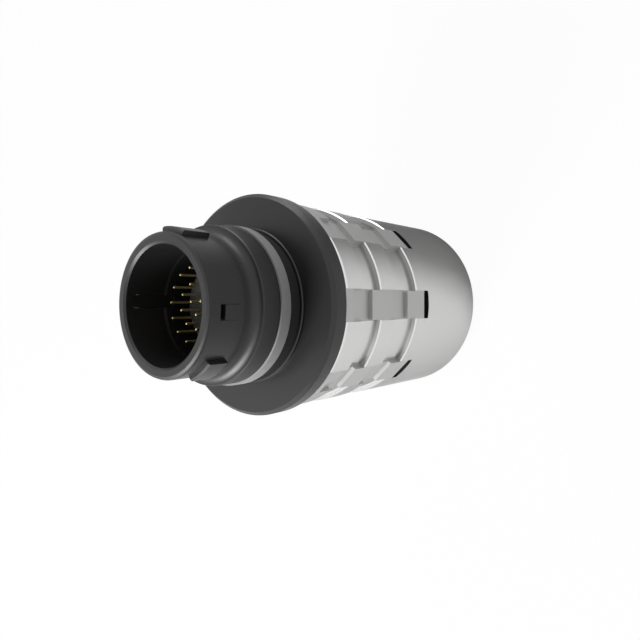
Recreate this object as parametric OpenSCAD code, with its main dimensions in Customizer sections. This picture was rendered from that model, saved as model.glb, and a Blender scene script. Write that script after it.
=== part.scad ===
// Push-pull circular connector, 27 pins, stop flange and sprung release sleeve.
// Millimetres. +Z runs from the cable end to the pins; z = 0 is the rear face of the back nut.
// Angles are measured from +X towards +Y; the main key sits near +Y.
// Radii grow outwards from the nose, heights are stacked from the rear face.

/* [Nose shroud] */
// Outside radius of the nose
nose_r = 11.65; // [10:0.05:13]
// Wall of the nose
nose_wall = 1.9; // [1.6:0.05:2.4]
// Length of the nose in front of the shoulder
nose_len = 9.21; // [8.2:0.01:12]
// Radius on the edge of the rim
rim_round = 0.59; // [0.1:0.01:0.8]
// Inner chamfer of the rim
rim_chamfer = 0.35; // [0.1:0.01:0.5]
// Depth of the small step inside the bore
bore_step = 0.17; // [0.1:0.01:0.4]
// Height of the small step above the shoulder
bore_step_up = 1.35; // [0.5:0.05:2]
// Radius of the hollow between nose and shoulder
nose_fillet = 1.75; // [0.5:0.05:2]

/* [Keys] */
// How far the keys stand out from the nose
key_height = 0.85; // [0.3:0.05:1.2]
// Width of each key as an angle
key_angle = 24; // [10:1:30]
// Main key position
key_main_at = 78; // [0:1:360]
// Second key position
key_second_at = -58; // [-180:1:180]
// Height of the rear end of the keys above the shoulder
key_up = 3.15; // [2.5:0.05:4]
// Distance of the main key's front end from the rim
key_main_back = 0.86; // [0.6:0.02:2]
// Distance of the second key's front end from the rim
key_second_back = 2.26; // [0.6:0.02:3]

/* [Latches] */
// Angle of the first latch
latch_at = -5.5; // [-180:0.5:180]
// Width of a latch pad
latch_w = 2.35; // [1.5:0.05:3]
// Height of the latch window above the shoulder
latch_up = 3.4; // [3:0.05:4]
// Length of the latch pad
latch_len = 2.75; // [2:0.05:3.2]
// Open slot in front of the latch pad
latch_slot = 0.85; // [0.5:0.05:1.2]
// How far a latch pad stands out of the nose
latch_proud = 0.1; // [0:0.05:0.3]
// Inward travel of a latch
latch_travel = 0.45; // [0.2:0.05:0.5]
// Thickness of a latch arm
latch_arm_t = 0.5; // [0.3:0.05:0.6]
// Length of a latch arm behind its pad
latch_tail = 4.15; // [2:0.05:5]
// How far a latch arm lies outside the bore
latch_arm_out = 0.4; // [0.3:0.05:0.6]
// Gap round a latch
latch_gap = 0.05; // [0.03:0.01:0.1]

/* [Shell] */
// Step from the nose out to the shoulder
shoulder_step = 1.9; // [1.7:0.05:2.4]
// Length of the shoulder
shoulder_len = 3.8; // [3:0.05:6]
// Width of the seal ring
ring_w = 2.15; // [1.5:0.05:3]
// How far the seal ring stands out of the shoulder
ring_proud = 0.33; // [0.1:0.01:0.6]
// Depth of the groove under the seal ring
ring_depth = 1.15; // [0.8:0.05:1.4]
// Step from the shoulder in to the neck under the flange
neck_step = 0.65; // [0.4:0.05:0.8]
// Length of the neck between flange collar and seal ring
gasket_len = 2.85; // [1.5:0.05:4]
// Step from the neck in to the tail inside the barrel
tail_step = 0.7; // [0.5:0.05:0.9]
// Length of the tail behind the flange
tail_len = 13.85; // [12:0.05:18]
// How far the tail reaches behind the insulator
tail_cover = 8; // [6:0.1:10]

/* [Stop flange] */
// How far the flange stands out beyond the sleeve
flange_proud = 0.65; // [0.2:0.05:3]
// Thickness of the flange
flange_t = 3.45; // [2.5:0.05:5]
// Chamfer on the front edge of the flange
flange_chamfer = 0.65; // [0.2:0.05:0.8]
// Wall of the collar on the flange
collar_wall = 1; // [0.8:0.05:1.5]
// Height of the collar on the flange
collar_h = 0.65; // [0.3:0.05:0.8]
// Length of the hub behind the flange
hub_len = 1.3; // [0.8:0.1:2.5]
// Length of the flange's neck behind its face
neck_back = 3.45; // [3:0.05:6]

/* [Release sleeve] */
// Wall of the sleeve at its ridges
sleeve_wall = 1.95; // [1.6:0.05:3]
// Length of the sleeve along its flats
sleeve_len = 50.8; // [48:0.1:70]
// Gap between sleeve and flange
sleeve_gap = 0.65; // [0.3:0.05:1]
// How far the flats stand out in front of the ridges
front_step = 0.5; // [0.2:0.05:0.8]
// Number of milled flats round the sleeve
flat_count = 8; // [4:1:10]
// Turn of the flats
flat_turn = -1; // [-20:1:20]
// Width of a milled flat
flat_w = 5.6; // [3:0.1:6.5]
// Depth of the flats under the sleeve radius
flat_depth = 0.21; // [0.1:0.01:0.4]
// Depth of the notches in the flats
notch_depth = 0.95; // [0.4:0.05:1.2]
// Depth of the grooves between the flats
groove_depth = 0.95; // [0.4:0.05:1.2]
// Small bevel on the front edge of each ridge
ridge_bevel = 0.22; // [0.05:0.01:0.4]
// Lengths of the ridges and grooves, front to rear
ridge_a_len = 5.1; // [3:0.05:7]
// Front groove
groove_a_len = 5.35; // [3:0.05:7]
// Second ridge
ridge_b_len = 5.55; // [3:0.05:7]
// Rear groove
groove_b_len = 7.4; // [3:0.05:9]
// Lengths of the pads and notches on the flats, front to rear
pad_a_len = 2.45; // [1:0.05:4]
// Front notch
notch_a_len = 5.65; // [3:0.05:7]
// Second pad
pad_b_len = 6.4; // [3:0.05:8]
// Rear notch
notch_b_len = 5.9; // [3:0.05:7]
// Third pad
pad_c_len = 6.7; // [3:0.05:8]
// Axial width of the dark slots
slot_w = 1.5; // [0.8:0.1:2]
// Pull-back travel of the sleeve
sleeve_travel = 2; // [1:0.1:2.5]
// Height of the sleeve above the rear face when pulled back
sleeve_clear = 0.4; // [0.2:0.1:2]

/* [Pins] */
// Pin radius
pin_r = 0.25; // [0.2:0.01:0.4]
// How far the pins stand out of the face seal
pin_out = 4.41; // [2:0.01:8]
// Radius of the outer pin circle
ring_a_r = 6.56; // [6:0.02:7.2]
// Radius of the middle pin circle
ring_b_r = 3.88; // [3.5:0.02:4.2]
// Radius of the inner pin circle
ring_c_r = 1.45; // [1.2:0.02:1.8]
// Radius of the pin shoulder
pin_shoulder_r = 0.6; // [0.57:0.01:0.7]
// Radius of the solder cup
cup_r = 0.55; // [0.45:0.01:0.57]
// Length of the pin shoulder
pin_shoulder_len = 1.95; // [1:0.05:3]
// Length of the solder cup behind the insulator
cup_len = 5; // [3:0.1:7]

/* [Insert] */
// Rim of the face seal outside the outer pin circle
face_seal_rim = 0.58; // [0.4:0.02:1]
// Thickness of the face seal
face_seal_t = 2.14; // [1:0.02:3]
// Length of the insulator in front of its seat
insert_front_len = 4.5; // [3:0.1:6]
// Height of the insulator's seat above the flange
insert_seat_up = 0.7; // [0.2:0.1:1.5]
// Length of the insulator's seating collar
insert_collar_len = 4; // [2:0.1:5]
// Step from the nose bore out to the seating collar
counter_step = 0.92; // [0.6:0.02:1.1]
// Length of the insert nut
insert_nut_len = 3; // [2:0.1:5]

/* [Cable end] */
// Wall of the barrel over the tail of the shell
barrel_wall = 2.3; // [1.8:0.05:3]
// Radius of the cable bore
cable_r = 5; // [3:0.1:5.6]
// Wall of the cable seal
cable_seal_wall = 2; // [1.5:0.05:2.6]
// Length of the cable seal
cable_seal_len = 12.6; // [8:0.1:14]
// Length of the back nut's head
nut_head = 8.3; // [6:0.1:9]
// Length of the back nut's spigot inside the barrel
nut_spigot = 8.5; // [6:0.1:12]
// Wall of the back nut's head outside the spigot
nut_wall = 2.9; // [2:0.05:3.2]
// Depth of the back nut's flats under its round edge
nut_flat_depth = 0.9; // [0.3:0.05:1.2]
// Gap between back nut and barrel, filled by the gasket
nut_gap = 0.7; // [0.4:0.05:1]
// Length of the clamp collet
collet_len = 10.9; // [8:0.1:12]
// Length of the ground ring
ground_len = 4; // [2:0.1:5]
// Section radius of the shell's sealing ring
o_ring_r = 0.47; // [0.3:0.01:0.55]

/* [Return spring] */
// Wire radius
wire_r = 0.5; // [0.3:0.05:0.6]
// Number of coils
coils = 4; // [3:1:5]
// Spare length of the spring beyond its travel
spring_spare = 2.4; // [1:0.1:4]
// Room between barrel and sleeve for the spring and its bush
spring_room = 2.9; // [2.2:0.05:3.2]
// Thickness of the washer under the spring
washer_h = 0.6; // [0.3:0.05:1]
// Length of the barrel's track that guides the sleeve
track_len = 3; // [2:0.1:6]

/* [View] */
// Sub-part to draw
// Smoothness of round parts
$fn = 96; // [48:8:160]

/* [Hidden] */
slip = 0.05;
seat = 0.02;
eps = 0.01;

// Radii, from the nose outwards.
nose_bore_r = nose_r - nose_wall;
insert_r = nose_bore_r - bore_step;
counter_r = insert_r + counter_step;
shoulder_r = nose_r + shoulder_step;
fillet_r = min(nose_fillet, shoulder_step - 0.15);
ring_seat_r = shoulder_r - ring_depth;
neck_r = shoulder_r - neck_step;
tail_r = neck_r - tail_step;
barrel_r = tail_r + barrel_wall;
sleeve_bore_r = barrel_r + spring_room;
sleeve_r = sleeve_bore_r + sleeve_wall;
flange_r = sleeve_r + flange_proud;
collar_r = neck_r + collar_wall;
hub_r = sleeve_bore_r - 0.9;
track_r = sleeve_bore_r - slip - seat;
barrel_tail_r = barrel_r - 1.3;
bush_r = sleeve_bore_r - seat;
bush_bore_r = barrel_r + slip * 2;
spring_r = (bush_bore_r + bush_r) / 2;
face_seal_r = ring_a_r + face_seal_rim;
hole_r = pin_r + seat;
insert_nut_bore_r = counter_r - 2.1;
nut_bore_r = cable_r + cable_seal_wall;
nut_r = counter_r + nut_wall;
o_ring_groove = 2 * o_ring_r + 2 * seat;

// Heights, from the rear face up.
sleeve_foot = sleeve_travel + sleeve_clear;
flat_top = sleeve_foot + sleeve_len;
sleeve_top = flat_top - front_step;
flange_foot = flat_top + sleeve_gap;
flange_top = flange_foot + flange_t;
collar_top = flange_top + collar_h;
ring_foot = collar_top + gasket_len;
ring_top = ring_foot + ring_w;
shoulder_top = ring_top + shoulder_len;
nose_top = shoulder_top + nose_len;
bore_step_z = shoulder_top + bore_step_up;
tail_foot = flange_foot - tail_len;
barrel_top = flange_foot - neck_back;
hub_z = flange_foot - hub_len;
o_ring_z = barrel_top - 2.6;
insert_seat = flange_top + insert_seat_up;
insulator_top = insert_seat + insert_front_len;
face_seal_top = insulator_top + face_seal_t;
pin_top = face_seal_top + pin_out;
insert_joint = insert_seat - insert_collar_len;
insert_foot = tail_foot + tail_cover;
cup_foot = insert_foot - cup_len;
barrel_foot = nut_head + nut_gap;
track_z = barrel_foot + 1;
track_top = track_z + track_len;
spring_z = track_top + washer_h;
bush_foot = spring_z + coils * 2 * wire_r + sleeve_travel + spring_spare;
bush_top = hub_z - slip;
nut_lip = 1.35;
spigot_top = nut_head + nut_spigot;
collet_foot = spigot_top + 0.2;
ground_foot = collet_foot + collet_len + 0.1;

// Grip pattern, from the front of the sleeve back.
ridge_a_end = sleeve_top - ridge_a_len;
groove_a_end = ridge_a_end - groove_a_len;
ridge_b_end = groove_a_end - ridge_b_len;
groove_b_end = ridge_b_end - groove_b_len;
pad_a_end = flat_top - pad_a_len;
notch_a_end = pad_a_end - notch_a_len;
pad_b_end = notch_a_end - pad_b_len;
notch_b_end = pad_b_end - notch_b_len;
slot_top = notch_b_end - pad_c_len;
flat_step = 360 / flat_count;
flat_plane = sleeve_r - flat_depth;
notch_plane = sleeve_r - notch_depth;
flat_half = asin(flat_w / 2 / sleeve_r);
wide_angle = flat_step - 2 * flat_half + 0.8;

// Latch, its arm in a channel on the bore side of the wall.
latch_z = shoulder_top + latch_up;
latch_out = nose_r + latch_proud;
latch_arm_r = nose_bore_r + latch_arm_out;
latch_room_r = latch_arm_r - latch_travel - 0.75;
latch_arm_w = latch_w - 0.35;
latch_foot = latch_z - latch_tail;
latch_toe = latch_z + latch_len + latch_slot + 0.4;

function ring_points(n, r, start) = [for (i = [0:n - 1]) [r, start + i * 360 / n]];

module at_pins(n, r, start) {
    for (p = ring_points(n, r, start)) rotate([0, 0, p[1]]) translate([p[0], 0, 0]) children();
}

module at_outer() at_pins(15, ring_a_r, -90) children();

module at_middle() at_pins(9, ring_b_r, -90) children();

module at_inner() at_pins(3, ring_c_r, -90) children();

module all_pins() {
    at_outer() children();
    at_middle() children();
    at_inner() children();
}

// Ring with a plain rectangular section.
module ring(r0, r1, z0, z1) {
    rotate_extrude() translate([r0, z0]) square([r1 - r0, z1 - z0]);
}

// Part of a ring, centred on the angle a and w degrees wide.
module sector(a, w, points) {
    rotate([0, 0, a - w / 2]) rotate_extrude(angle = w) polygon(points);
}

// Raised key on the nose with a sloped front end; back is its distance from the rim.
module nose_key(a, back) {
    r0 = nose_r - 0.8;
    r1 = nose_r + key_height;
    foot = shoulder_top + key_up;
    top = nose_top - back;
    sector(a, key_angle, [[r0, foot], [r1 - 0.15, foot], [r1, foot + 0.15], [r1, top - 0.3], [r1 - 0.3, top], [r0, top]]);
}

// Room for one latch: a window through the wall and a channel on the bore side.
module latch_room(a) {
    g = latch_gap;
    w = latch_w + 2 * g;
    wa = latch_arm_w + 2 * g;
    rotate([0, 0, a]) translate([latch_room_r, -w / 2, latch_z - g])
        cube([nose_r - latch_room_r + 1, w, latch_len + latch_slot + g]);
    rotate([0, 0, a]) translate([latch_room_r, -wa / 2, latch_foot - g])
        cube([latch_arm_r + latch_arm_t + g - latch_room_r, wa, latch_toe - latch_foot + 2 * g]);
}

module plug_shell() color([0.12, 0.12, 0.13]) difference() {
    union() {
        rotate_extrude() difference() {
            polygon([
                [insert_r, tail_foot], [tail_r - 0.3, tail_foot], [tail_r, tail_foot + 0.3],
                [tail_r, barrel_top + 0.1], [neck_r, barrel_top + 0.1], [neck_r, ring_foot],
                [ring_seat_r, ring_foot], [ring_seat_r, ring_top], [shoulder_r, ring_top],
                [shoulder_r, shoulder_top - 0.25], [shoulder_r - 0.25, shoulder_top],
                [nose_r + fillet_r, shoulder_top], [nose_r + fillet_r, shoulder_top + fillet_r],
                [nose_r, shoulder_top + fillet_r], [nose_r, nose_top - rim_round],
                [nose_r - rim_round * 0.29, nose_top - rim_round * 0.29], [nose_r - rim_round, nose_top],
                [nose_bore_r + rim_chamfer, nose_top], [nose_bore_r, nose_top - rim_chamfer],
                [nose_bore_r, bore_step_z], [insert_r, bore_step_z - 0.48], [insert_r, tail_foot]
            ]);
            translate([nose_r + fillet_r, shoulder_top + fillet_r]) circle(r = fillet_r);
        }
        nose_key(key_main_at, key_main_back);
        nose_key(key_second_at, key_second_back);
    }
    ring(insert_r - 1, counter_r, tail_foot - 1, insert_seat);
    latch_room(latch_at);
    latch_room(latch_at + 180);
    ring(tail_r - o_ring_groove, tail_r + 1, o_ring_z - o_ring_r - 0.13, o_ring_z + o_ring_r + 0.13);
}

module stop_flange() color([0.11, 0.11, 0.12]) rotate_extrude() polygon([
    [neck_r + seat, barrel_top + 0.1], [barrel_r, barrel_top + 0.1], [barrel_r, hub_z], [hub_r, hub_z],
    [hub_r, flange_foot], [flange_r - 0.2, flange_foot], [flange_r, flange_foot + 0.2],
    [flange_r, flange_top - flange_chamfer], [flange_r - flange_chamfer, flange_top], [collar_r, flange_top],
    [collar_r, collar_top - 0.15], [collar_r - 0.15, collar_top], [neck_r + seat, collar_top]
]);

module seal_ring() color([0.45, 0.46, 0.47]) ring(ring_seat_r + seat, shoulder_r + ring_proud, ring_foot + seat, ring_top - seat);

module panel_gasket() color([0.05, 0.05, 0.05]) rotate_extrude() polygon([
    [neck_r + seat, collar_top + seat], [neck_r + 0.35, collar_top + seat], [neck_r + 0.45, collar_top + 0.12],
    [neck_r + 0.45, ring_foot - 0.12], [neck_r + 0.35, ring_foot - seat], [neck_r + seat, ring_foot - seat]
]);

module interface_seal() color([0.3, 0.33, 0.38]) difference() {
    rotate_extrude() polygon([
        [0, insulator_top + seat], [face_seal_r, insulator_top + seat], [face_seal_r, face_seal_top - 0.2],
        [face_seal_r - 0.2, face_seal_top], [0, face_seal_top]
    ]);
    all_pins() cylinder(r = hole_r, h = nose_top, $fn = 24);
}

module front_insulator() color([0.08, 0.08, 0.09]) difference() {
    rotate_extrude() polygon([
        [0, insert_joint], [counter_r - seat, insert_joint], [counter_r - seat, insert_seat - seat],
        [insert_r - seat, insert_seat - seat], [insert_r - seat, insulator_top - 0.3],
        [insert_r - 0.3, insulator_top], [0, insulator_top]
    ]);
    all_pins() {
        cylinder(r = hole_r, h = nose_top, $fn = 24);
        cylinder(r = pin_shoulder_r + seat, h = insert_joint + pin_shoulder_len + slip, $fn = 24);
    }
}

module rear_insulator() color([0.1, 0.1, 0.11]) difference() {
    ring(0, counter_r - seat, insert_foot, insert_joint - seat);
    all_pins() cylinder(r = cup_r + seat, h = nose_top, $fn = 24);
}

// One pin: rounded tip, shoulder held between the insulators, solder cup behind.
module pin() rotate_extrude($fn = 24) polygon([
    [0, cup_foot + 2.5], [cup_r - 0.17, cup_foot + 2.5], [cup_r - 0.17, cup_foot], [cup_r, cup_foot],
    [cup_r, insert_joint], [pin_shoulder_r, insert_joint], [pin_shoulder_r, insert_joint + pin_shoulder_len],
    [pin_r, insert_joint + pin_shoulder_len], [pin_r, pin_top - 0.22], [pin_r * 0.7, pin_top - 0.07], [0, pin_top]
]);

module pins_outer() color([0.75, 0.6, 0.25]) at_outer() pin();

module pins_middle() color([0.75, 0.6, 0.25]) at_middle() pin();

module pins_inner() color([0.75, 0.6, 0.25]) at_inner() pin();

module insert_nut() color([0.6, 0.6, 0.58]) difference() {
    ring(insert_nut_bore_r, counter_r - seat, insert_foot - insert_nut_len, insert_foot - seat);
    for (a = [0:90:270]) rotate([0, 0, a + 45])
        translate([insert_nut_bore_r - 0.4, -0.8, insert_foot - insert_nut_len - 0.5]) cube([3, 1.6, 1.6]);
}

// Latch: thin arm along the bore with a pad that fills the window.
module latch() {
    translate([latch_arm_r, -latch_arm_w / 2, latch_foot]) cube([latch_arm_t, latch_arm_w, latch_toe - latch_foot]);
    intersection() {
        translate([latch_arm_r, -latch_w / 2, latch_z]) cube([3, latch_w, latch_len]);
        cylinder(r = latch_out, h = nose_top);
    }
}

module latch_a() color([0.13, 0.13, 0.14]) rotate([0, 0, latch_at]) latch();

module latch_b() color([0.13, 0.13, 0.14]) rotate([0, 0, latch_at + 180]) latch();

// Groove between two flats, from z0 up to z1, with a bevel on the ridge behind it.
module groove(z0, z1) {
    r0 = sleeve_r - groove_depth;
    r1 = sleeve_r + 1;
    b = ridge_bevel;
    for (i = [0:flat_count - 1])
        sector(flat_turn + (i + 0.5) * flat_step, wide_angle, [
            [r0, z0], [sleeve_r - b, z0], [r1, z0 - b - 1], [r1, z1 + 0.4], [r0, z1 - 0.35]
        ]);
}

// Flat-bottomed cut across the sleeve at every flat.
module flat_cut(plane, z0, z1) {
    for (i = [0:flat_count - 1]) rotate([0, 0, flat_turn + i * flat_step])
        translate([plane, -flat_w / 2, z0]) cube([sleeve_r + 1 - plane, flat_w, z1 - z0]);
}

module release_sleeve() color([0.68, 0.68, 0.68]) difference() {
    rotate_extrude() polygon([
        [sleeve_bore_r, sleeve_foot + 0.4], [sleeve_bore_r + 0.4, sleeve_foot], [sleeve_r - 0.3, sleeve_foot],
        [sleeve_r, sleeve_foot + 0.3], [sleeve_r, flat_top], [sleeve_bore_r, flat_top]
    ]);
    for (i = [0:flat_count - 1])
        sector(flat_turn + (i + 0.5) * flat_step, wide_angle, [
            [sleeve_bore_r - 1, sleeve_top], [sleeve_r - ridge_bevel, sleeve_top],
            [sleeve_r + 1, sleeve_top - ridge_bevel - 1],
            [sleeve_r + 1, flat_top + 1], [sleeve_bore_r - 1, flat_top + 1]
        ]);
    groove(groove_a_end, ridge_a_end);
    groove(groove_b_end, ridge_b_end);
    flat_cut(flat_plane, slot_top, flat_top + 1);
    flat_cut(notch_plane, notch_a_end, pad_a_end);
    flat_cut(notch_plane, notch_b_end, pad_b_end);
    flat_cut(sleeve_bore_r - 1, slot_top - slot_w, slot_top);
}

module sleeve_bush() color([0.06, 0.06, 0.06]) ring(bush_bore_r, bush_r, bush_foot, bush_top);

module spring_washer() color([0.6, 0.6, 0.6]) ring(bush_bore_r, bush_r - 0.3, track_top, track_top + washer_h);

// Coil spring as a stack of short straight lengths round the barrel.
module return_spring() color([0.7, 0.7, 0.7]) {
    steps = 24;
    z0 = spring_z + wire_r + eps;
    z1 = bush_foot - wire_r - eps;
    for (i = [0:coils * steps - 1]) {
        a0 = i * 360 / steps;
        a1 = (i + 1) * 360 / steps;
        h0 = z0 + (z1 - z0) * i / (coils * steps);
        h1 = z0 + (z1 - z0) * (i + 1) / (coils * steps);
        hull() {
            translate([spring_r * cos(a0), spring_r * sin(a0), h0]) sphere(r = wire_r, $fn = 8);
            translate([spring_r * cos(a1), spring_r * sin(a1), h1]) sphere(r = wire_r, $fn = 8);
        }
    }
}

module barrel() color([0.55, 0.55, 0.54]) rotate_extrude() polygon([
    [counter_r, barrel_foot], [barrel_tail_r - 0.3, barrel_foot], [barrel_tail_r, barrel_foot + 0.3],
    [barrel_tail_r, track_z], [track_r - 0.2, track_z], [track_r, track_z + 0.2],
    [track_r, track_top], [barrel_r, track_top], [barrel_r, barrel_top],
    [tail_r + seat, barrel_top], [tail_r + seat, tail_foot - seat], [counter_r, tail_foot - seat]
]);

module shell_o_ring() color([0.05, 0.05, 0.05]) rotate_extrude()
    translate([tail_r - o_ring_groove / 2, o_ring_z]) circle(r = o_ring_r);

module ground_ring() color([0.7, 0.65, 0.5]) rotate_extrude() polygon([
    [cable_r + 0.3, ground_foot], [counter_r - 0.3, ground_foot], [counter_r - 0.3, ground_foot + 1],
    [cable_r + 1.6, ground_foot + ground_len], [cable_r + 0.3, ground_foot + ground_len]
]);

module clamp_collet() color([0.6, 0.6, 0.58]) difference() {
    rotate_extrude() polygon([
        [cable_r + 0.1, collet_foot], [counter_r - 1.8, collet_foot], [counter_r - 0.3, collet_foot + 2.5],
        [counter_r - 0.3, collet_foot + collet_len], [cable_r + 0.1, collet_foot + collet_len]
    ]);
    for (a = [0:60:300]) rotate([0, 0, a])
        translate([cable_r - 1, -0.5, collet_foot - 1]) cube([counter_r - cable_r + 1, 1, collet_len - 2.9]);
}

module cable_seal() color([0.05, 0.05, 0.05]) rotate_extrude() polygon([
    [cable_r, nut_lip + slip], [nut_bore_r - seat, nut_lip + slip],
    [nut_bore_r - seat, nut_lip + slip + cable_seal_len], [cable_r + 0.6, nut_lip + slip + cable_seal_len],
    [cable_r, nut_lip + slip + cable_seal_len - 0.6]
]);

module back_nut() color([0.6, 0.6, 0.59]) difference() {
    union() {
        intersection() {
            rotate_extrude() polygon([
                [0, 0], [nut_r - 0.5, 0], [nut_r, 0.5], [nut_r, nut_head - 0.5], [nut_r - 0.5, nut_head], [0, nut_head]
            ]);
            cylinder(r = (nut_r - nut_flat_depth) / cos(30), h = nut_head, $fn = 6);
        }
        cylinder(r = counter_r - seat, h = spigot_top);
    }
    translate([0, 0, nut_lip]) cylinder(r = nut_bore_r, h = spigot_top);
    translate([0, 0, -1]) cylinder(r = cable_r + 0.5, h = nut_lip + 2);
}

module nut_gasket() color([0.05, 0.05, 0.05]) ring(counter_r + seat, counter_r + 2.2, nut_head + seat, barrel_foot - seat);

plug_shell();
stop_flange();
seal_ring();
panel_gasket();
interface_seal();
front_insulator();
rear_insulator();
pins_outer();
pins_middle();
pins_inner();
insert_nut();
latch_a();
latch_b();
release_sleeve();
sleeve_bush();
return_spring();
spring_washer();
barrel();
shell_o_ring();
ground_ring();
clamp_collet();
cable_seal();
back_nut();
nut_gasket();
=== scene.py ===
import math
import bpy
from mathutils import Matrix, Vector


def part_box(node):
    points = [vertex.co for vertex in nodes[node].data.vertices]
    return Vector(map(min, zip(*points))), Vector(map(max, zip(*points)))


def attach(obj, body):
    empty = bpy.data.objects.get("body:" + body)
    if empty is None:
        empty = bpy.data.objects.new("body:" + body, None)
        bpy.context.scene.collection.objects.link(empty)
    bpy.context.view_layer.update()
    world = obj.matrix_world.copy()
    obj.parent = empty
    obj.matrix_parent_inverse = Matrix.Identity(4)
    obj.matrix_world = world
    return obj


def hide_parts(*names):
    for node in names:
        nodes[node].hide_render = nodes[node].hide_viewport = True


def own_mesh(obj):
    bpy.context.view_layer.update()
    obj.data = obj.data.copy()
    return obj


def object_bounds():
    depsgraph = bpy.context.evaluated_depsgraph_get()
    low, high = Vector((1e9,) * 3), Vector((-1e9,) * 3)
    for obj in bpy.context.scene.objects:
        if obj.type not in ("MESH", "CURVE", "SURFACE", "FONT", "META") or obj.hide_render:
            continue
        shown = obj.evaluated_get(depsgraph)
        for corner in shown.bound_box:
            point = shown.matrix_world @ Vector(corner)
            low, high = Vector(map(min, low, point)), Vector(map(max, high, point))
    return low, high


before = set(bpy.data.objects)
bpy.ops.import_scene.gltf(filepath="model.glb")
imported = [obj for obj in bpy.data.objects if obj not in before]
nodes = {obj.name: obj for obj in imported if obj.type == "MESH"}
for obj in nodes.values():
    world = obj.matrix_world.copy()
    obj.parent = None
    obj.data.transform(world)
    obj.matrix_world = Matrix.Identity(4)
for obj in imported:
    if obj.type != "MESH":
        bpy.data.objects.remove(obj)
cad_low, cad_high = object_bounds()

# All lengths are in metres unless a name says otherwise.
scene = bpy.context.scene


# ---------------------------------------------------------------- camera

SENSOR_MM = 36
LENS_MM = 32.22
NEAR_CLIP = 0.005
LOOKED_AT = Vector((0.00011, -0.00321, 0.03622))
CAMERA_DISTANCE = 0.12012
LOOKS_ALONG = Vector((-0.62429, -0.02057, -0.78092)).normalized()
CAMERA_RIGHT = Vector((0.78119, -0.01644, -0.62407)).normalized()


def place_camera():
    """Camera beside and above the plug, looking down on its pins and along its sleeve."""
    data = bpy.data.cameras.new("camera")
    data.sensor_width = SENSOR_MM
    data.lens = LENS_MM
    data.clip_start = NEAR_CLIP
    camera = bpy.data.objects.new("camera", data)
    above = CAMERA_RIGHT.cross(LOOKS_ALONG).normalized()
    place = Matrix((CAMERA_RIGHT, above, -LOOKS_ALONG)).transposed().to_4x4()
    place.translation = LOOKED_AT - LOOKS_ALONG * CAMERA_DISTANCE
    camera.matrix_world = place
    scene.collection.objects.link(camera)
    scene.camera = camera


place_camera()


# ---------------------------------------------------------------- node trees

WHITE = (1, 1, 1, 1)


class Nodes:
    """Short ways to build one node tree."""

    def __init__(self, tree):
        self.tree = tree

    def add(self, kind, **values):
        """New node; each value goes to the input of that name, or to the node itself."""
        node = self.tree.nodes.new(kind)
        for name, value in values.items():
            if name in node.inputs:
                node.inputs[name].default_value = value
            else:
                setattr(node, name, value)
        return node

    def link(self, output, socket):
        self.tree.links.new(output, socket)

    def maths(self, operation, *terms):
        """What a Math node gives; each term is a number or another node's output."""
        node = self.add("ShaderNodeMath", operation=operation)
        for socket, term in zip(node.inputs, terms):
            if isinstance(term, (int, float)):
                socket.default_value = term
            else:
                self.link(term, socket)
        return node.outputs[0]


def new_group(name, inputs, outputs):
    """Node group with number inputs and their usual values; gives its two ends as well."""
    group = bpy.data.node_groups.new(name, "ShaderNodeTree")
    for label, value in inputs.items():
        socket = group.interface.new_socket(label, in_out="INPUT", socket_type="NodeSocketFloat")
        socket.default_value = value
    for label, kind in outputs.items():
        group.interface.new_socket(label, in_out="OUTPUT", socket_type=kind)
    n = Nodes(group)
    return group, n, n.add("NodeGroupInput").outputs, n.add("NodeGroupOutput").inputs


# ---------------------------------------------------------------- fine grain

GRAIN_DETAIL = 3.0
GRAIN_BREAK_UP = 0.6
GRAIN_DARKEST = 0.92
GRAIN_LIGHTEST = 1.08
GRAIN_DEPTH = 0.00005
ROUGH_SPREAD = 0.05


def fine_grain_group():
    """Grain of a finish: a tone round 1 for the colour, a roughness and a bump normal."""
    group, n, given, out = new_group(
        "fine_grain",
        {"Scale": 900.0, "Strength": 0.1, "Rough low": 0.4, "Rough high": 0.5},
        {"Value": "NodeSocketFloat", "Roughness": "NodeSocketFloat",
         "Normal": "NodeSocketVector"})
    noise = n.add("ShaderNodeTexNoise", Detail=GRAIN_DETAIL, Roughness=GRAIN_BREAK_UP)
    n.link(n.add("ShaderNodeTexCoord").outputs["Object"], noise.inputs["Vector"])
    n.link(given["Scale"], noise.inputs["Scale"])
    rough = n.add("ShaderNodeMapRange")
    n.link(noise.outputs[0], rough.inputs["Value"])
    n.link(given["Rough low"], rough.inputs["To Min"])
    n.link(given["Rough high"], rough.inputs["To Max"])
    n.link(rough.outputs[0], out["Roughness"])
    tone = n.add("ShaderNodeMapRange", **{"To Min": GRAIN_DARKEST, "To Max": GRAIN_LIGHTEST})
    n.link(noise.outputs[0], tone.inputs["Value"])
    n.link(tone.outputs[0], out["Value"])
    bump = n.add("ShaderNodeBump", Distance=GRAIN_DEPTH)
    n.link(given["Strength"], bump.inputs["Strength"])
    n.link(noise.outputs[0], bump.inputs["Height"])
    n.link(bump.outputs[0], out["Normal"])
    return group


FINE_GRAIN = fine_grain_group()


# ---------------------------------------------------------------- finishes

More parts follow.
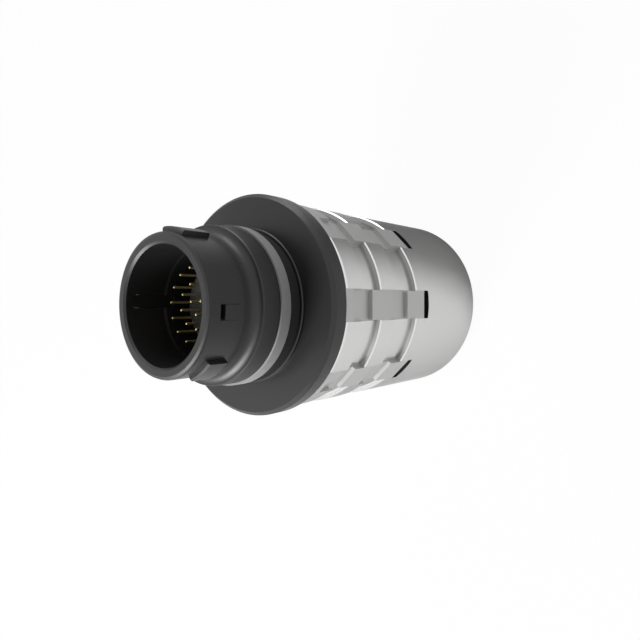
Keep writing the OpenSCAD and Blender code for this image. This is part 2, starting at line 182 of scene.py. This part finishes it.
# Each finish: colour, roughness, metallic, scale of the grain and strength of its bump.
FINISHES = {
    "black_anodised": ((0.012, 0.012, 0.0125), 0.4, 0.0, 1800, 0.03),
    "satin_nickel": ((0.75, 0.75, 0.745), 0.24, 1.0, 2500, 0.015),
    "grey_ring": ((0.36, 0.36, 0.36), 0.65, 0.0, 1500, 0.04),
    "black_rubber": ((0.012, 0.012, 0.012), 0.7, 0.0, 1200, 0.1),
    "grey_silicone": ((0.085, 0.095, 0.115), 0.6, 0.0, 1200, 0.05),
    "black_plastic": ((0.02, 0.02, 0.022), 0.5, 0.0, 1500, 0.05),
    "gold_pin": ((0.78, 0.63, 0.3), 0.3, 1.0, 3000, 0.02),
    "nickel_inner": ((0.6, 0.6, 0.58), 0.35, 1.0, 1800, 0.05),
    "spring_steel": ((0.55, 0.55, 0.55), 0.3, 1.0, 1800, 0.04),
    "brass_ring": ((0.7, 0.55, 0.3), 0.35, 1.0, 1800, 0.04),
}

WEARS = {
    "black_anodised": ("plug_shell", "stop_flange", "latch_a", "latch_b"),
    "satin_nickel": ("release_sleeve",),
    "grey_ring": ("seal_ring",),
    # The sleeve bush is a part, and its black also stands in for the shade seen through the
    # sleeve's slots: painted shade in part.
    "black_rubber": ("panel_gasket", "sleeve_bush", "shell_o_ring", "cable_seal", "nut_gasket"),
    "grey_silicone": ("interface_seal",),
    "black_plastic": ("front_insulator", "rear_insulator"),
    "gold_pin": ("pins_outer", "pins_middle", "pins_inner"),
    "nickel_inner": ("insert_nut", "barrel", "clamp_collet", "back_nut"),
    "spring_steel": ("return_spring", "spring_washer"),
    "brass_ring": ("ground_ring",),
}


def shader_of(material):
    return material.node_tree.nodes["Principled BSDF"]


def finish(name, colour, rough, metal, scale, strength):
    """Material with fine grain in its colour, roughness and surface."""
    material = bpy.data.materials.new(name)
    material.use_nodes = True
    shader = shader_of(material)
    n = Nodes(material.node_tree)
    grain = n.add("ShaderNodeGroup", node_tree=FINE_GRAIN)
    grain.inputs["Scale"].default_value = scale
    grain.inputs["Strength"].default_value = strength
    grain.inputs["Rough low"].default_value = rough - ROUGH_SPREAD
    grain.inputs["Rough high"].default_value = rough + ROUGH_SPREAD
    toned = n.add("ShaderNodeMix", data_type="RGBA", blend_type="MULTIPLY")
    toned.inputs["Factor"].default_value = 1.0
    toned.inputs["A"].default_value = (*colour, 1.0)
    n.link(grain.outputs["Value"], toned.inputs["B"])
    n.link(toned.outputs["Result"], shader.inputs["Base Color"])
    n.link(grain.outputs["Roughness"], shader.inputs["Roughness"])
    n.link(grain.outputs["Normal"], shader.inputs["Normal"])
    shader.inputs["Metallic"].default_value = metal
    return material


materials = {name: finish(name, *values) for name, values in FINISHES.items()}
for finish_name, piece_names in WEARS.items():
    for piece_name in piece_names:
        slots = nodes[piece_name].data.materials
        slots.clear()
        slots.append(materials[finish_name])


# ---------------------------------------------------------------- milled sleeve

# Flats are milled back from the front edge of the sleeve, and a slot opens behind each.
FLAT_COUNT = 8
FIRST_FLAT = math.radians(-1)
FLAT_HALF_WIDTH = 0.00281
FLAT_LENGTH = 0.02705
SLOT_LENGTH = 0.0016
WALL_FACES_UP = 0.9

# What is milled differs from the satin metal in colour and roughness; the slots behind the flats
# are painted near black, painted shade for the dark inside them.
MILLED_LOOKS = {
    "Flats": ((0.56, 0.56, 0.555), 0.6),
    "Walls": ((0.52, 0.52, 0.515), 0.7),
    # Painted shade: the slots are coloured near black to stand for the shade inside them.
    "Painted slot shade": ((0.01, 0.01, 0.01), 0.8),
}
DULL_METALLIC = 0.15
SATIN_EDGE_TINT = (0.5, 0.5, 0.5, 1.0)


def milled_flats_group():
    """Masks for the milled flats, the walls of their steps, and the slots behind them, where
    shade is painted.
    """
    sleeve_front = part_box("release_sleeve")[1][2]
    flat_foot = sleeve_front - FLAT_LENGTH
    group, n, given, out = new_group(
        "milled_flats",
        {"First": FIRST_FLAT, "Step": math.radians(360 / FLAT_COUNT),
         "Half width": FLAT_HALF_WIDTH,
         "Flat foot": flat_foot, "Slot foot": flat_foot - SLOT_LENGTH},
        {name: "NodeSocketFloat" for name in MILLED_LOOKS})
    place = n.add("ShaderNodeSeparateXYZ")
    n.link(n.add("ShaderNodeTexCoord").outputs["Object"], place.inputs[0])
    x, y, z = place.outputs
    turn = n.maths("SUBTRACT", n.maths("ARCTAN2", y, x), given["First"])
    to_nearest = n.maths("PINGPONG", turn, n.maths("MULTIPLY", given["Step"], 0.5))
    radius = n.maths("SQRT", n.maths("ADD", n.maths("MULTIPLY", x, x), n.maths("MULTIPLY", y, y)))
    aside = n.maths("MULTIPLY", radius, n.maths("SINE", to_nearest))
    in_line = n.maths("LESS_THAN", aside, given["Half width"])
    past_flat = n.maths("GREATER_THAN", z, given["Flat foot"])
    past_slot = n.maths("GREATER_THAN", z, given["Slot foot"])
    facing = n.add("ShaderNodeSeparateXYZ")
    n.link(n.add("ShaderNodeNewGeometry").outputs["True Normal"], facing.inputs[0])
    wall = n.maths("GREATER_THAN", facing.outputs["Z"], WALL_FACES_UP)
    n.link(n.maths("MULTIPLY", in_line, past_flat), out["Flats"])
    n.link(n.maths("MULTIPLY", wall, past_flat), out["Walls"])
    # Painted shade: the band behind each flat where the slot's shade is painted.
    n.link(n.maths("MULTIPLY", in_line, n.maths("SUBTRACT", past_slot, past_flat)), out["Painted slot shade"])
    return group


def blend(n, socket, mask, value):
    """Blend what feeds a shader's socket with another value where the mask is 1."""
    is_colour = isinstance(value, tuple)
    mix = n.add("ShaderNodeMix", data_type="RGBA" if is_colour else "FLOAT")
    n.link(mask, mix.inputs["Factor"])
    n.link(socket.links[0].from_socket, mix.inputs["A"])
    mix.inputs["B"].default_value = (*value, 1.0) if is_colour else value
    n.link(mix.outputs["Result"], socket)


def mill_sleeve(material):
    """Matt flats and walls, and slots painted near black as painted shade, on the satin metal."""
    shader = shader_of(material)
    n = Nodes(material.node_tree)
    masks = n.add("ShaderNodeGroup", node_tree=milled_flats_group()).outputs
    for name, (colour, rough) in MILLED_LOOKS.items():
        blend(n, shader.inputs["Base Color"], masks[name], colour)
        blend(n, shader.inputs["Roughness"], masks[name], rough)
    metal = n.add("ShaderNodeMapRange", **{"To Min": 1.0, "To Max": DULL_METALLIC})
    n.link(n.maths("MAXIMUM", masks["Walls"], masks["Painted slot shade"]), metal.inputs["Value"])
    n.link(metal.outputs[0], shader.inputs["Metallic"])
    shader.inputs["Specular Tint"].default_value = SATIN_EDGE_TINT


mill_sleeve(materials["satin_nickel"])


# ---------------------------------------------------------------- return spring

# The spring's own mesh, as a copy on the plug body.
coils = bpy.data.objects.new("spring_coils", nodes["return_spring"].data.copy())
scene.collection.objects.link(coils)
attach(coils, "plug_body")
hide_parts("return_spring")
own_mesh(coils)


# ---------------------------------------------------------------- floor and surroundings

FLOOR_SIZE = 3.0
FLOOR_GAP = 0.00005
FLOOR_TONE = 0.8
WHITE_TO_CAMERA = 0.96
SOFT_LIGHT = 0.2


def mix_surface(n, share, plain, white, output):
    """Plain shader where the share is 0 and white where it is 1."""
    mix = n.add("ShaderNodeMixShader")
    n.link(share, mix.inputs[0])
    n.link(plain.outputs[0], mix.inputs[1])
    n.link(white.outputs[0], mix.inputs[2])
    n.link(mix.outputs[0], output.inputs["Surface"])


def floor_material():
    """Pale floor that the lamps light; the camera sees it nearly white, with a faint shadow."""
    material = bpy.data.materials.new("floor_white")
    material.use_nodes = True
    material.node_tree.nodes.clear()
    n = Nodes(material.node_tree)
    plain = n.add("ShaderNodeBsdfDiffuse", Color=(FLOOR_TONE, FLOOR_TONE, FLOOR_TONE, 1))
    white = n.add("ShaderNodeEmission", Color=WHITE, Strength=1.0)
    rays = n.add("ShaderNodeLightPath").outputs
    share = n.maths("MULTIPLY", rays["Is Camera Ray"], WHITE_TO_CAMERA)
    mix_surface(n, share, plain, white, n.add("ShaderNodeOutputMaterial"))
    return material


def lay_floor():
    """Floor just under the back nut."""
    bpy.ops.mesh.primitive_plane_add(size=FLOOR_SIZE, location=(0, 0, cad_low.z - FLOOR_GAP))
    floor = bpy.context.object
    floor.name = "floor"
    floor.data.materials.append(floor_material())


def white_world():
    """White to the camera, to mirrors and to glass; a soft light for all other rays."""
    world = bpy.data.worlds.new("world")
    scene.world = world
    world.use_nodes = True
    world.node_tree.nodes.clear()
    n = Nodes(world.node_tree)
    soft = n.add("ShaderNodeBackground", Color=WHITE, Strength=SOFT_LIGHT)
    white = n.add("ShaderNodeBackground", Color=WHITE, Strength=1.0)
    rays = n.add("ShaderNodeLightPath").outputs
    mirror_or_glass = n.maths("MAXIMUM", rays["Is Glossy Ray"], rays["Is Transmission Ray"])
    share = n.maths("MAXIMUM", rays["Is Camera Ray"], mirror_or_glass)
    mix_surface(n, share, soft, white, n.add("ShaderNodeOutputWorld"))


lay_floor()
white_world()
scene.view_settings.view_transform = "Standard"


# ---------------------------------------------------------------- lamps

LAMP_AIM = Vector((0, 0, 0.03))
LAMP_DISTANCE = 0.6
LAMP_SIZE = 0.3


def lamp(name, azimuth, elevation, power):
    """Square lamp aimed at the middle of the part; angles in degrees, power in watts."""
    turn, lift = math.radians(azimuth), math.radians(elevation)
    way = Vector((math.cos(turn) * math.cos(lift), math.sin(turn) * math.cos(lift),
                  math.sin(lift)))
    at = way * LAMP_DISTANCE + LAMP_AIM
    data = bpy.data.lights.new(name, "AREA")
    data.size = LAMP_SIZE
    data.energy = power
    light = bpy.data.objects.new(name, data)
    light.location = at
    light.rotation_euler = (LAMP_AIM - at).to_track_quat("-Z", "Y").to_euler()
    scene.collection.objects.link(light)


lamp("light_key", azimuth=-112, elevation=42, power=4.4)
lamp("light_fill", azimuth=98, elevation=16, power=1.0)
